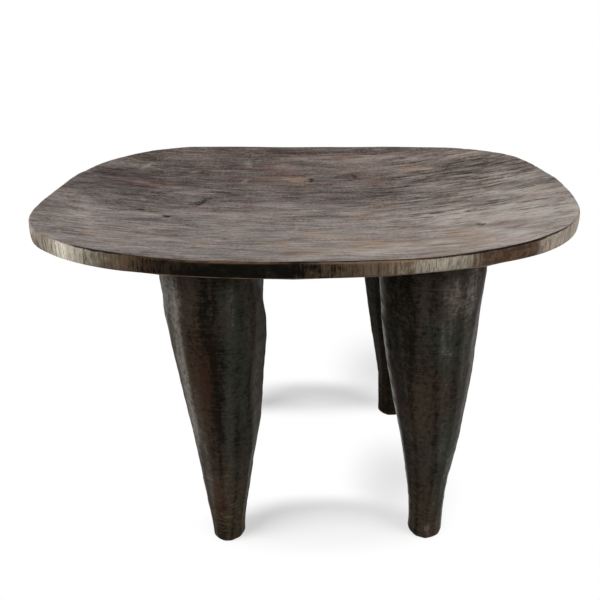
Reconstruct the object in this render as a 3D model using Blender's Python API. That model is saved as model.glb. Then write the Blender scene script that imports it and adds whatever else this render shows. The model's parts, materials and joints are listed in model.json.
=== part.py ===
"""Carved stool: a dished seat on four tapering legs, each leg stub-tenoned into a blind mortise.

Metres, +Z up. The origin is on the floor under the middle of the seat and +X runs along the seat.
"""

from math import cos, pi, radians, sin

import bmesh
import bpy

# Seat outline: a rounded rectangle cut by eye, fuller at its left end and along one diagonal.
SEAT_LENGTH = 0.560
SEAT_WIDTH = 0.390
OUTLINE_SQUARENESS = 2.9
LEFT_END_FULLNESS = 0.012
DIAGONAL_FULLNESS = 0.021

# Seat section: the dish is lowest in the middle and the slab thins towards its rim.
DISH_HEIGHT = 0.357
END_RISE = 0.018
SIDE_RISE = 0.018
MIDDLE_THICKNESS = 0.024
RIM_THICKNESS = 0.0165
ARRIS_ROUND = 0.003

# Legs: hewn in flats, slim at the foot and stout at the head.
FOOT_RADIUS = 0.018
FOOT_ROUND = 0.007
FLATS = 8
FLAT_RELIEF = 0.05

# Joints between the legs and the seat.
TENON_RADIUS = 0.020
TENON_LENGTH = 0.012
TENON_CHAMFER = 0.0015
FIT_CLEARANCE = 0.0003

# Each leg: its end and side of the seat, and how far its foot and its head stand in from that end and side.
# Then its radius at the head, how soon it swells on the way up (less is sooner), how far it bows along X
# and how its flats are turned.
LEGS = {
    "front_left": {
        "end": -1, "side": -1, "foot": (0.184, 0.075), "head": (0.184, 0.069),
        "head_radius": 0.0475, "taper": 0.74, "bow": 0.004, "turn": 10,
    },
    "front_right": {
        "end": 1, "side": -1, "foot": (0.147, 0.077), "head": (0.165, 0.083),
        "head_radius": 0.0500, "taper": 0.84, "bow": 0.002, "turn": 28,
    },
    "back_left": {
        "end": -1, "side": 1, "foot": (0.183, 0.075), "head": (0.179, 0.075),
        "head_radius": 0.0495, "taper": 0.76, "bow": 0.002, "turn": 17,
    },
    "back_right": {
        "end": 1, "side": 1, "foot": (0.157, 0.073), "head": (0.163, 0.073),
        "head_radius": 0.0510, "taper": 0.82, "bow": 0.0, "turn": 35,
    },
}

SEAT_COLOUR = (0.17, 0.13, 0.11)
LEG_COLOUR = (0.026, 0.020, 0.015)
SEAT_ROUGHNESS = 0.55
LEG_ROUGHNESS = 0.40

# Fineness of the surfaces.
OUTLINE_STEPS = 64
DISH_RINGS = 6
ROUND_STEPS = 2
STEPS_PER_FLAT = 4
LEG_RINGS = 10


def outline():
    """Points round the seat's edge, fitted exactly to its length and width."""
    shares = []
    for step in range(OUTLINE_STEPS):
        angle = 2 * pi * step / OUTLINE_STEPS
        sides = abs(cos(angle)) ** OUTLINE_SQUARENESS + abs(sin(angle)) ** OUTLINE_SQUARENESS
        reach = sides ** (-1 / OUTLINE_SQUARENESS)
        reach *= 1 + LEFT_END_FULLNESS * (cos(3 * angle) - cos(angle)) + DIAGONAL_FULLNESS * sin(2 * angle)
        shares.append((reach * cos(angle), reach * sin(angle)))
    return list(zip(fitted([x for x, y in shares], SEAT_LENGTH), fitted([y for x, y in shares], SEAT_WIDTH)))


def fitted(values, span):
    """The values moved and scaled to run from minus half the span to plus half the span."""
    low = min(values)
    scale = span / (max(values) - low)
    return [(value - low) * scale - span / 2 for value in values]


def dish_height(x, y):
    """Height of the seat's hollowed top."""
    along = x / (SEAT_LENGTH / 2)
    across = y / (SEAT_WIDTH / 2)
    return DISH_HEIGHT + END_RISE * along ** 2 + SIDE_RISE * across ** 2


def underside_height(x, y):
    """Height of the seat's underside, which follows the dish and draws nearer to it at the rim."""
    along = abs(x) / (SEAT_LENGTH / 2)
    across = abs(y) / (SEAT_WIDTH / 2)
    reach = (along ** OUTLINE_SQUARENESS + across ** OUTLINE_SQUARENESS) ** (1 / OUTLINE_SQUARENESS)
    return dish_height(x, y) - MIDDLE_THICKNESS - (RIM_THICKNESS - MIDDLE_THICKNESS) * reach ** 2


def loft(name, rings, first_tip, last_tip):
    """A closed body skinned over rings of points, with a fan of faces to a tip at each end."""
    shape = bmesh.new()
    loops = [[shape.verts.new(point) for point in ring] for ring in rings]
    count = len(loops[0])
    for lower, upper in zip(loops, loops[1:]):
        for here in range(count):
            after = (here + 1) % count
            shape.faces.new((lower[here], lower[after], upper[after], upper[here]))
    for loop, point in ((loops[0], first_tip), (loops[-1], last_tip)):
        tip = shape.verts.new(point)
        for here in range(count):
            shape.faces.new((loop[here], loop[(here + 1) % count], tip))
    bmesh.ops.recalc_face_normals(shape, faces=shape.faces)
    mesh = bpy.data.meshes.new(name)
    shape.to_mesh(mesh)
    shape.free()
    mesh.shade_smooth()
    mesh.set_sharp_from_angle(angle=radians(40))
    piece = bpy.data.objects.new(name, mesh)
    bpy.context.collection.objects.link(piece)
    return piece


def wood(name, colour, roughness):
    """A plain wood finish."""
    material = bpy.data.materials.new(name)
    material.use_nodes = True
    shader = material.node_tree.nodes["Principled BSDF"]
    shader.inputs["Base Color"].default_value = (*colour, 1)
    shader.inputs["Roughness"].default_value = roughness
    shader.inputs["Metallic"].default_value = 0
    return material


def rounding(radius):
    """Steps round a quarter circle, as distance in from the side and distance in from the face."""
    turns = [pi / 2 * step / ROUND_STEPS for step in range(ROUND_STEPS + 1)]
    return [(radius * (1 - sin(turn)), radius * (1 - cos(turn))) for turn in turns]


def seat_ring(inset, drop, surface, share=1.0):
    """One ring of the seat: the outline drawn in by an inset or a share, dropped from a surface."""
    ring = []
    for x, y in outline():
        x *= share * (1 - inset / (SEAT_LENGTH / 2))
        y *= share * (1 - inset / (SEAT_WIDTH / 2))
        ring.append((x, y, surface(x, y) - drop))
    return ring


def make_seat():
    """The slab: hollowed top, rounded rim and an underside that follows the hollow."""
    inner_shares = [ring / DISH_RINGS for ring in range(1, DISH_RINGS)]
    rings = [seat_ring(ARRIS_ROUND, 0, underside_height, share) for share in inner_shares]
    rings += [seat_ring(inset, -drop, underside_height) for inset, drop in rounding(ARRIS_ROUND)]
    rings += [seat_ring(inset, drop, dish_height) for inset, drop in reversed(rounding(ARRIS_ROUND))]
    rings += [seat_ring(ARRIS_ROUND, 0, dish_height, share) for share in reversed(inner_shares)]
    seat = loft("seat", rings, (0, 0, underside_height(0, 0)), (0, 0, dish_height(0, 0)))
    seat.data.materials.append(wood("seat_wood", SEAT_COLOUR, SEAT_ROUGHNESS))
    return seat


def place(leg, part):
    """Where a leg's foot or head stands, measured in from its end and side of the seat."""
    from_end, from_side = leg[part]
    return leg["end"] * (SEAT_LENGTH / 2 - from_end), leg["side"] * (SEAT_WIDTH / 2 - from_side)


def circle(centre, radius, leg, height):
    """A ring of points round a leg's head, turned with its flats; the height is a function of place."""
    ring = []
    for step in range(FLATS * STEPS_PER_FLAT):
        angle = radians(leg["turn"]) + 2 * pi * step / (FLATS * STEPS_PER_FLAT)
        x = centre[0] + radius * cos(angle)
        y = centre[1] + radius * sin(angle)
        ring.append((x, y, height(x, y)))
    return ring


def tenon_top(leg):
    """Height of the end of a leg's tenon."""
    return underside_height(*place(leg, "head")) + TENON_LENGTH


def shoulder_height(x, y):
    """Height of a leg's shoulder, fitted to the seat's underside."""
    return underside_height(x, y) - FIT_CLEARANCE


def leg_ring(leg, share, inset=0.0, rise=0.0):
    """One ring of a leg at a share of the way from its foot to the seat."""
    swell = (1 - cos(pi * share ** leg["taper"])) / 2
    radius = FOOT_RADIUS + (leg["head_radius"] - FOOT_RADIUS) * swell - inset
    foot_x, foot_y = place(leg, "foot")
    head_x, head_y = place(leg, "head")
    centre_x = foot_x + (head_x - foot_x) * share + leg["bow"] * 4 * share * (1 - share)
    centre_y = foot_y + (head_y - foot_y) * share
    ring = []
    for step in range(FLATS * STEPS_PER_FLAT):
        turn = 2 * pi * step / (FLATS * STEPS_PER_FLAT)
        reach = radius * (1 + FLAT_RELIEF * (0.5 - abs(sin(FLATS * turn / 2))))
        x = centre_x + reach * cos(radians(leg["turn"]) + turn)
        y = centre_y + reach * sin(radians(leg["turn"]) + turn)
        ring.append((x, y, rise + (shoulder_height(x, y) - rise) * share))
    return ring


def make_leg(name, leg):
    """A leg: flat sole, rounded foot edge, tapering shaft, fitted shoulder and round tenon."""
    head = place(leg, "head")
    top = tenon_top(leg)
    rings = [leg_ring(leg, 0, inset, drop) for inset, drop in rounding(FOOT_ROUND)]
    rings += [leg_ring(leg, ring / LEG_RINGS, 0, FOOT_ROUND) for ring in range(1, LEG_RINGS + 1)]
    rings.append(circle(head, (leg["head_radius"] + TENON_RADIUS) / 2, leg, shoulder_height))
    rings.append(circle(head, TENON_RADIUS, leg, shoulder_height))
    rings.append(circle(head, TENON_RADIUS, leg, lambda x, y: top - TENON_CHAMFER))
    rings.append(circle(head, TENON_RADIUS - TENON_CHAMFER, leg, lambda x, y: top))
    body = loft("leg_" + name, rings, (*place(leg, "foot"), 0), (*head, top))
    body.data.materials.append(wood("leg_" + name + "_wood", LEG_COLOUR, LEG_ROUGHNESS))


def cut_mortise(seat, name, leg):
    """A blind round mortise in the seat's underside that takes a leg's tenon."""
    head = place(leg, "head")
    radius = TENON_RADIUS + FIT_CLEARANCE
    low = underside_height(*head) - TENON_LENGTH
    high = tenon_top(leg) + FIT_CLEARANCE
    rings = [circle(head, radius, leg, lambda x, y: low), circle(head, radius, leg, lambda x, y: high)]
    cutter = loft("mortise_" + name, rings, (*head, low), (*head, high))
    cutter.hide_render = True
    cutter.display_type = "WIRE"
    cut = seat.modifiers.new("mortise_" + name, "BOOLEAN")
    cut.operation = "DIFFERENCE"
    cut.solver = "EXACT"
    cut.object = cutter


for thing in list(bpy.data.objects):
    bpy.data.objects.remove(thing)

stool_seat = make_seat()
for leg_name, leg_sizes in LEGS.items():
    make_leg(leg_name, leg_sizes)
    cut_mortise(stool_seat, leg_name, leg_sizes)
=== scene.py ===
"""A carved hardwood stool, dark with age and handling, standing on a pale studio floor."""

import json
from math import pi, radians

import bpy
import numpy as np
from mathutils import Matrix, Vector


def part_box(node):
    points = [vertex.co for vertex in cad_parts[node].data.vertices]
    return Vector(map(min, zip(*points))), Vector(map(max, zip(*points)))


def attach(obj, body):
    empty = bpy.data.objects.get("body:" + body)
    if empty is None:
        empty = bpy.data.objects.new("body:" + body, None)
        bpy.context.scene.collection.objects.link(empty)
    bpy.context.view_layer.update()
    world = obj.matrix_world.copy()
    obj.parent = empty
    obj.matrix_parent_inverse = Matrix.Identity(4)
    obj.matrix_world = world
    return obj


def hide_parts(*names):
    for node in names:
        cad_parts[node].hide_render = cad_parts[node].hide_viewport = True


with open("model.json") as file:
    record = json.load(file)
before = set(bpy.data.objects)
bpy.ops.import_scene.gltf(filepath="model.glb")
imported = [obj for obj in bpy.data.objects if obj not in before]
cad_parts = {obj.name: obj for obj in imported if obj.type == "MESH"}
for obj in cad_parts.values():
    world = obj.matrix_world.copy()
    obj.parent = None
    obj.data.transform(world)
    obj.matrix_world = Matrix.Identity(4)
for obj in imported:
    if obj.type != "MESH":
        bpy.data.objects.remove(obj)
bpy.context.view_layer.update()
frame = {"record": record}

# Seat
# A slab of dense hardwood, hollowed with an adze along the grain and polished by years of sitting.
# The rim is trimmed by eye in short upright flats, rasped, and rubbed bare along its two arrises.
SEAT_LOW, SEAT_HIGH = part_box("seat")
HALF_LENGTH = (SEAT_HIGH.x - SEAT_LOW.x) / 2
HALF_WIDTH = (SEAT_HIGH.y - SEAT_LOW.y) / 2
SQUARENESS = 2.9
LEFT_END_FULLNESS = 0.012
DIAGONAL_FULLNESS = 0.021
DISH_HEIGHT = 0.357
END_RISE = 0.018
SIDE_RISE = 0.018
MIDDLE_THICKNESS = 0.024
RIM_THICKNESS = 0.0165
ARRIS_ROUND = 0.0018

NET_COLUMNS = 200
NET_ROWS = 330
ARRIS_STEPS = 4
WALL_STEPS = 7

# Tool marks: how deep they are, how long and broad where they repeat, and the height they are set about.
SCOOP_DEPTH = 0.0009
SCOOP_SIZE = (0.080, 0.034)
SCOOP_LEVEL = 0.2
RIPPLE_DEPTH = 0.00035
RIPPLE_SIZE = (0.055, 0.012)
GRAIN_DEPTH = 0.00010
GRAIN_SIZE = (0.040, 0.0032)
SCORE_DEPTH = 0.00055
RASP_DEPTH = 0.00012
RASP_SIZE = (0.0034, 0.03)
RIM_HOLLOW = 0.0004
UNDERSIDE_SCOOP_DEPTH = 0.0022
UNDERSIDE_SCOOP_SIZE = (0.070, 0.036)
UNDERSIDE_SCOOP_LEVEL = 0.15
UNDERSIDE_RIPPLE_SIZE = (0.03, 0.009)
UNDERSIDE_DARKNESS = 0.6
WAVES_BEFORE_REPEAT = 64
SEEDS = {
    "cuts": 11, "scoops": 21, "ripples": 22, "grain": 23,
    "rasp": 32, "under_scoops": 41, "under_ripples": 42,
}

# Wear of the rim: how far its arrises are rubbed down, and how broad its bare line and its grime are on top.
# Then, in degrees, where the lower arris is palest, a painted highlight at its front over wear all round,
# and from where on the left end is rubbed all over.
ARRIS_RUB = 0.15
BARE_BREADTH = 0.0014
GRIME_BREADTH = 0.0008
LOWER_HIGHLIGHT_AT = -108
LOWER_HIGHLIGHT_REACH = 26
LOWER_HIGHLIGHT_FADE = 8
LOWER_WEAR_LEAST = 0.25
LEFT_END_FROM = 148
LEFT_END_FADE = 6
# How the bare line, the grime and, on the left end, the top's colour fade on their way down the rim:
# the level that each starts from, and its fall down the arris or, for the colour, down the wall below it.
BARE_FADE = (2.0, 1.2)
GRIME_FADE = (1.3, 1.6)
TOP_COLOUR_FADE = (1.6, 3)
# How much further the grime comes down where it outweighs the bare wood, and how bare the wood is on top
# and just below the arris, as a share of the arris itself.
GRIME_GAIN = 1.3
BARE_ON_TOP = 0.8
BARE_BELOW = 0.3

# Where the rim strays from an even one: direction in degrees, then metres outwards, upwards and in thickness.
# The powers say how sharply its strays outwards and upwards die away towards the seat's middle.
OUTWARD_POWER = 6
UPWARD_POWER = 3
RIM_BY_EYE = (
    (-180, 0.0, 0.0025, 0.0),
    (-170, 0.0, 0.0018, 0.0016),
    (-158, 0.0, 0.0008, 0.0030),
    (-153, 0.0, 0.0003, 0.0016),
    (-149, 0.0, 0.0, 0.0005),
    (-138, 0.0, 0.0003, 0.0010),
    (-128, 0.0, 0.0, 0.0),
    (-110, 0.0, -0.0004, -0.0003),
    (-92, 0.0, 0.0, 0.0002),
    (-81, 0.0, -0.0009, -0.0008),
    (-75, 0.0, -0.0017, -0.0018),
    (-69, 0.0, -0.0020, -0.0023),
    (-58, 0.0, -0.0018, -0.0025),
    (-46, 0.0, -0.0015, -0.0027),
    (-34, 0.0, 0.0004, 0.0),
    (-6, 0.0020, 0.0015, 0.0),
    (4, 0.0010, 0.0025, 0.0),
    (14, 0.0, 0.0, 0.0),
    (24, 0.0, 0.0015, 0.0),
    (33, 0.0, 0.0007, 0.0),
    (50, 0.0, -0.0013, 0.0),
    (66, 0.0, -0.0010, 0.0),
    (85, 0.0, 0.0, 0.0),
    (112, 0.0, 0.0, 0.0),
    (130, 0.0, 0.0010, 0.0),
    (148, 0.0, -0.0012, 0.0),
    (162, 0.0, -0.0016, 0.0),
    (170, 0.0, 0.0006, 0.0),
    (180, 0.0, 0.0025, 0.0),
)

# Stains on the top, the pale ones partly painted light: place along and across, half length, half width
# and strength.
DARK_STAINS = (
    (-0.240, 0.023, 0.045, 0.018, 0.8),
    (-0.205, 0.103, 0.045, 0.014, 0.9),
    (-0.145, 0.102, 0.035, 0.010, 0.9),
    (-0.174, 0.030, 0.016, 0.006, 0.8),
    (-0.097, 0.039, 0.016, 0.007, 1.0),
    (-0.060, 0.060, 0.090, 0.030, 0.4),
    (0.070, 0.039, 0.050, 0.020, 0.9),
    (0.190, 0.092, 0.040, 0.026, 0.8),
    (0.250, 0.090, 0.018, 0.024, 0.4),
    (-0.165, 0.122, 0.090, 0.045, 0.7),
    (-0.190, 0.010, 0.055, 0.030, 0.4),
    (-0.030, 0.035, 0.120, 0.040, 0.3),
    (-0.215, 0.060, 0.050, 0.040, 1.7),
    (-0.110, 0.072, 0.070, 0.025, 0.95),
    (-0.085, 0.025, 0.035, 0.022, 0.95),
    (0.020, 0.092, 0.100, 0.030, 0.45),
    (0.035, 0.025, 0.035, 0.020, 1.0),
    (-0.095, 0.140, 0.040, 0.035, 0.9),
    (-0.085, -0.165, 0.045, 0.022, 0.35),
    (0.272, 0.022, 0.012, 0.014, 0.6),
    (-0.003, 0.138, 0.022, 0.010, 0.7),
    (0.020, 0.178, 0.220, 0.014, 0.7),
)
# The pale patches on the front and right end of the dish are partly painted light, where light and gloss
# fall.
PALE_STAINS_AND_LIGHT = (
    (0.240, -0.050, 0.055, 0.040, 1.7),
    (0.175, -0.098, 0.100, 0.035, 0.95),
    (0.110, 0.155, 0.110, 0.018, 0.4),
    (0.170, 0.145, 0.060, 0.020, 0.5),
    (0.232, 0.062, 0.030, 0.022, 0.9),
    (0.045, -0.018, 0.030, 0.014, 0.4),
    (0.020, -0.060, 0.060, 0.024, 0.4),
    (0.225, 0.005, 0.065, 0.042, 0.8),
    (0.170, -0.062, 0.095, 0.042, 1.15),
    (0.150, 0.060, 0.050, 0.020, 0.2),
    (-0.021, -0.012, 0.070, 0.022, 0.2),
    (-0.235, -0.060, 0.030, 0.035, 0.5),
    (-0.060, -0.097, 0.080, 0.040, 0.3),
    (0.160, -0.135, 0.130, 0.040, 0.95),
    (0.070, -0.155, 0.110, 0.034, 0.85),
    (0.115, -0.050, 0.045, 0.026, 1.3),
    (-0.200, -0.100, 0.070, 0.030, 0.42),
    (-0.150, -0.150, 0.050, 0.025, 0.4),
)
TAN_STAINS = (
    (-0.015, 0.091, 0.016, 0.014, 0.9),
    (0.039, -0.038, 0.014, 0.014, 0.8),
    (0.003, -0.096, 0.018, 0.017, 0.9),
    (-0.029, -0.125, 0.020, 0.012, 0.7),
    (0.054, -0.127, 0.036, 0.017, 1.0),
    (0.141, -0.048, 0.010, 0.010, 0.6),
    (0.155, -0.116, 0.028, 0.022, 0.9),
    (0.060, -0.148, 0.140, 0.036, 0.36),
    (0.124, 0.118, 0.018, 0.016, 0.7),
    (-0.207, 0.123, 0.020, 0.012, 0.6),
)
RED_STAINS = (
    (-0.044, 0.107, 0.030, 0.034, 0.8),
    (-0.196, 0.066, 0.025, 0.012, 0.9),
    (0.074, 0.074, 0.020, 0.008, 0.7),
    (0.195, -0.091, 0.024, 0.024, 0.7),
    (0.035, 0.152, 0.016, 0.011, 0.7),
    (0.248, -0.077, 0.014, 0.016, 0.6),
)

# Single marks: place along and across, length, width, direction in degrees and strength.
# A pale scratch has a strength below 0.
SINGLE_MARKS = (
    (-0.179, -0.028, 0.012, 0.0028, 0, 1.3),
    (-0.149, -0.044, 0.011, 0.0034, -20, 1.6),
    (-0.163, -0.032, 0.020, 0.0026, 0, 0.7),
    (-0.120, 0.006, 0.036, 0.0036, 68, 1.3),
    (-0.113, 0.021, 0.018, 0.0026, 10, 0.7),
    (-0.170, 0.030, 0.022, 0.0030, -6, 1.2),
    (-0.097, 0.042, 0.026, 0.0030, 0, 0.8),
    (-0.085, 0.034, 0.018, 0.0026, 4, 0.7),
    (0.003, 0.088, 0.018, 0.0032, 85, 1.6),
    (0.057, 0.097, 0.020, 0.0032, 110, 0.9),
    (0.168, -0.083, 0.010, 0.0032, 0, 1.5),
    (0.165, -0.037, 0.011, 0.0028, 5, 0.9),
    (-0.075, 0.139, 0.027, 0.0026, 100, -0.45),
    (-0.077, 0.082, 0.018, 0.0026, 60, -0.45),
    (-0.199, 0.117, 0.036, 0.0032, 66, -0.5),
    (-0.139, 0.106, 0.018, 0.0030, 40, -0.4),
)
# Fine cuts and checks along the grain: how many, where along and across, lengths, widths, slant in degrees
# and strengths. Each one's direction strays from the slant.
CUT_STRAY = 3
CUTS = (
    (220, (-0.27, 0.27), (-0.19, 0.19), (0.012, 0.045), (0.0009, 0.0015), 0, (0.10, 0.45)),
    (170, (0.10, 0.275), (-0.06, 0.17), (0.018, 0.060), (0.0013, 0.0023), 9, (0.30, 1.00)),
    (70, (0.10, 0.275), (-0.09, 0.15), (0.020, 0.060), (0.0013, 0.0024), 9, (-0.80, -0.30)),
    (130, (-0.20, 0.16), (-0.19, -0.05), (0.015, 0.050), (0.0009, 0.0015), 0, (0.20, 0.60)),
    (90, (-0.27, -0.14), (-0.13, 0.12), (0.012, 0.040), (0.0009, 0.0016), -3, (0.25, 0.75)),
    (60, (-0.25, 0.10), (-0.10, 0.17), (0.010, 0.035), (0.0012, 0.0020), 0, (0.30, 0.80)),
)

# Colour of the rim by direction in degrees: how pale the wood is, partly rubbed wood and partly painted light
# where it faces the lamps and painted shade across its front, how red it is, how dark the grime lies along
# its upper arris and how bare that arris is worn.
RIM_COLOUR_AND_LIGHT = (
    (-180, 0.42, 0.2, 0.2, 0.52),
    (-165, 0.42, 0.2, 0.2, 0.52),
    (-157, 0.46, 0.2, 0.2, 0.5),
    (-149, 0.54, 0.1, 0.2, 0.7),
    (-147, 0.64, 0.0, 0.3, 0.6),
    (-145, 0.88, 0.0, 0.5, 0.5),
    (-142, 0.82, 0.0, 0.66, 0.4),
    (-139, 0.55, 0.0, 0.82, 0.3),
    (-137, 0.49, 0.1, 0.88, 0.25),
    (-134, 0.34, 0.1, 0.84, 0.25),
    (-132, 0.33, 0.2, 0.74, 0.3),
    (-129, 0.21, 0.5, 0.6, 0.4),
    (-127, 0.13, 0.9, 0.5, 0.55),
    (-121, 0.085, 1.0, 0.4, 0.55),
    (-118, 0.05, 0.5, 0.5, 0.64),
    (-104, 0.03, 0.1, 0.5, 0.66),
    (-97, 0.04, 0.2, 0.7, 0.58),
    (-94, 0.11, 0.6, 0.9, 0.50),
    (-88, 0.17, 0.3, 0.8, 0.7),
    (-82, 0.24, 0.2, 0.9, 0.8),
    (-79, 0.26, 0.2, 1.0, 0.9),
    (-76, 0.36, 0.4, 1.0, 1.0),
    (-70, 0.43, 0.4, 1.0, 1.0),
    (-64, 0.49, 0.1, 1.0, 0.9),
    (-60, 0.62, 0.0, 1.0, 0.7),
    (-57, 0.54, 0.0, 1.0, 0.6),
    (-54, 0.54, 0.0, 1.0, 0.5),
    (-51, 0.48, 0.3, 1.0, 0.4),
    (-49, 0.35, 0.7, 1.0, 0.5),
    (-43, 0.31, 0.9, 1.0, 0.5),
    (-36.8, 0.36, 0.8, 1.0, 0.5),
    (-35.6, 0.76, 0.6, 1.0, 0.4),
    (-30, 0.84, 0.4, 0.8, 0.4),
    (-16, 0.85, 0.4, 0.3, 0.4),
    (-8, 0.86, 0.3, 0.05, 0.4),
    (0, 0.80, 0.3, 0.0, 0.4),
    (10, 0.50, 0.3, 0.2, 0.5),
    (60, 0.25, 0.6, 0.3, 0.5),
    (95, 0.55, 0.3, 0.3, 0.5),
    (130, 0.15, 0.5, 0.4, 0.5),
    (160, 0.45, 0.2, 0.3, 0.6),
    (180, 0.42, 0.2, 0.2, 0.52),
)


def reach_of(x, y):
    """How far out on the seat a place lies: 0 in the middle and 1 at an even rim."""
    sides = np.abs(x / HALF_LENGTH) ** SQUARENESS + np.abs(y / HALF_WIDTH) ** SQUARENESS
    return sides ** (1 / SQUARENESS)


def strays(x, y):
    """How far the rim in this direction strays outwards, upwards and in thickness."""
    angle, *columns = np.array(RIM_BY_EYE).T
    return [np.interp(np.degrees(np.arctan2(y, x)), angle, column) for column in columns]


def dish_height(x, y):
    """Height of the hollowed top before its tool marks."""
    hollow = END_RISE * (x / HALF_LENGTH) ** 2 + SIDE_RISE * (y / HALF_WIDTH) ** 2
    return DISH_HEIGHT + hollow + strays(x, y)[1] * reach_of(x, y) ** UPWARD_POWER


def underside_height(x, y):
    """Height of the underside, which follows the hollow and draws nearer to it at the rim."""
    thinning = MIDDLE_THICKNESS - RIM_THICKNESS - strays(x, y)[2]
    return dish_height(x, y) - MIDDLE_THICKNESS + thinning * reach_of(x, y) ** 2


def swells(u, v, seed, around=WAVES_BEFORE_REPEAT):
    """Smooth random heights from -1 to 1, one wave to a unit, that meet again after a whole turn in u."""
    heights = np.random.default_rng(seed).uniform(-1, 1, (around, WAVES_BEFORE_REPEAT))
    column = np.floor(u).astype(int)
    row = np.floor(v).astype(int)
    along = (u - column) ** 2 * (3 - 2 * (u - column))
    across = (v - row) ** 2 * (3 - 2 * (v - row))
    sides = []
    for side in (row % WAVES_BEFORE_REPEAT, (row + 1) % WAVES_BEFORE_REPEAT):
        before = heights[column % around, side]
        after = heights[(column + 1) % around, side]
        sides.append(before * (1 - along) + after * along)
    return sides[0] * (1 - across) + sides[1] * across


def scoops(u, v, seed, around=WAVES_BEFORE_REPEAT):
    """Shallow bowls as an adze leaves them, one to a unit square: 0 in the middle, highest on the ridges."""
    place_u, place_v = np.random.default_rng(seed).uniform(0.1, 0.9, (2, around, WAVES_BEFORE_REPEAT))
    nearest = np.full(np.shape(u), np.inf)
    for step_u in (-1, 0, 1):
        for step_v in (-1, 0, 1):
            column = np.floor(u).astype(int) + step_u
            row = np.floor(v).astype(int) + step_v
            square = (column % around, row % WAVES_BEFORE_REPEAT)
            from_u = u - column - place_u[square]
            from_v = v - row - place_v[square]
            nearest = np.minimum(nearest, from_u ** 2 + from_v ** 2)
    return nearest


def scratched(x, y, marks):
    """Fine cuts in many directions: 1 along a deep cut, below 0 along a pale scratch, and 0 elsewhere."""
    depth = np.zeros(np.shape(x))
    for middle_x, middle_y, length, width, turn, strength in marks:
        along = (x - middle_x) * np.cos(radians(turn)) + (y - middle_y) * np.sin(radians(turn))
        off = (y - middle_y) * np.cos(radians(turn)) - (x - middle_x) * np.sin(radians(turn))
        end = np.clip(1 - np.abs(along) / (length / 2), 0, 1)
        mark = strength * np.exp(-(off / width) ** 2) * np.sqrt(end)
        depth = np.where(np.abs(mark) > np.abs(depth), mark, depth)
    return depth


def stained(x, y, stains):
    """Soft patches drawn out along the grain: 1 in the middle of a patch and 0 away from it."""
    depth = np.zeros(np.shape(x))
    for middle_x, middle_y, half_length, half_width, strength in stains:
        off = ((x - middle_x) / half_length) ** 2 + ((y - middle_y) / half_width) ** 2
        depth = np.maximum(depth, strength * np.exp(-off))
    return depth


def plan_net(columns, rows):
    """Places over the seat's plan, in a net whose lines run almost straight along and across it."""
    u, v = np.meshgrid(np.linspace(-1, 1, columns + 1), np.linspace(-1, 1, rows + 1), indexing="ij")
    x = u * (1 - np.abs(v) ** SQUARENESS / 2) ** (1 / SQUARENESS)
    y = v * (1 - np.abs(u) ** SQUARENESS / 2) ** (1 / SQUARENESS)
    angle = np.arctan2(y, x)
    reach = (np.abs(x) ** SQUARENESS + np.abs(y) ** SQUARENESS) ** (2 / SQUARENESS)
    by_eye = LEFT_END_FULLNESS * (np.cos(3 * angle) - np.cos(angle)) + DIAGONAL_FULLNESS * np.sin(2 * angle)
    x = x * (1 + reach * by_eye)
    y = y * (1 + reach * by_eye)
    x = (2 * (x - x.min()) / np.ptp(x) - 1) * HALF_LENGTH
    y = (2 * (y - y.min()) / np.ptp(y) - 1) * HALF_WIDTH
    out = strays(x, y)[0] * reach_of(x, y) ** OUTWARD_POWER / np.maximum(np.hypot(x, y), HALF_WIDTH / 2)
    return x * (1 + out), y * (1 + out)


def round_the_edge(net):
    """The net's outermost points, in order round the seat."""
    return np.concatenate([net[:-1, 0], net[-1, :-1], net[:0:-1, -1], net[0, :0:-1]])


def inset(x, y, distance):
    """Places drawn in towards the seat's middle."""
    return x * (1 - distance / HALF_LENGTH), y * (1 - distance / HALF_WIDTH)


def net_faces(numbers):
    """Four-sided faces between the points of a net."""
    corners = [numbers[:-1, :-1], numbers[1:, :-1], numbers[1:, 1:], numbers[:-1, 1:]]
    return np.stack(corners, -1).reshape(-1, 4)


def band_faces(upper, lower):
    """Four-sided faces between two rings of points, facing out where the rings run anticlockwise."""
    return np.stack([upper, lower, np.roll(lower, -1), np.roll(upper, -1)], -1)


def skin(name, points, faces, marks):
    """A smooth-shaded mesh piece that carries its tool marks, wear, stains and painted light as named values
    on its points.
    """
    mesh = bpy.data.meshes.new(name)
    mesh.from_pydata(points.tolist(), [], faces)
    mesh.update()
    mesh.shade_smooth()
    for mark, values in marks.items():
        mesh.attributes.new(mark, "FLOAT", "POINT").data.foreach_set("value", values.astype(np.float32))
    piece = bpy.data.objects.new(name, mesh)
    bpy.context.scene.collection.objects.link(piece)
    return piece


plan_x, plan_y = plan_net(NET_COLUMNS, NET_ROWS)
top_x, top_y = inset(plan_x, plan_y, ARRIS_ROUND)
rng = np.random.default_rng(SEEDS["cuts"])
seat_marks = list(SINGLE_MARKS)
for count, places_along, places_across, lengths, widths, slant, strengths in CUTS:
    seat_marks += zip(
        rng.uniform(*places_along, count), rng.uniform(*places_across, count), rng.uniform(*lengths, count),
        rng.uniform(*widths, count), rng.normal(slant, CUT_STRAY, count), rng.uniform(*strengths, count),
    )
seat_scores = scratched(top_x, top_y, seat_marks)
top_relief = (
    SCOOP_DEPTH * (scoops(top_x / SCOOP_SIZE[0], top_y / SCOOP_SIZE[1], SEEDS["scoops"]) - SCOOP_LEVEL)
    + RIPPLE_DEPTH * swells(top_x / RIPPLE_SIZE[0], top_y / RIPPLE_SIZE[1], SEEDS["ripples"])
    + GRAIN_DEPTH * swells(top_x / GRAIN_SIZE[0], top_y / GRAIN_SIZE[1], SEEDS["grain"])
    - SCORE_DEPTH * np.clip(seat_scores, 0, 1)
)
top_points = np.stack([top_x, top_y, dish_height(top_x, top_y) + top_relief], -1)

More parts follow.
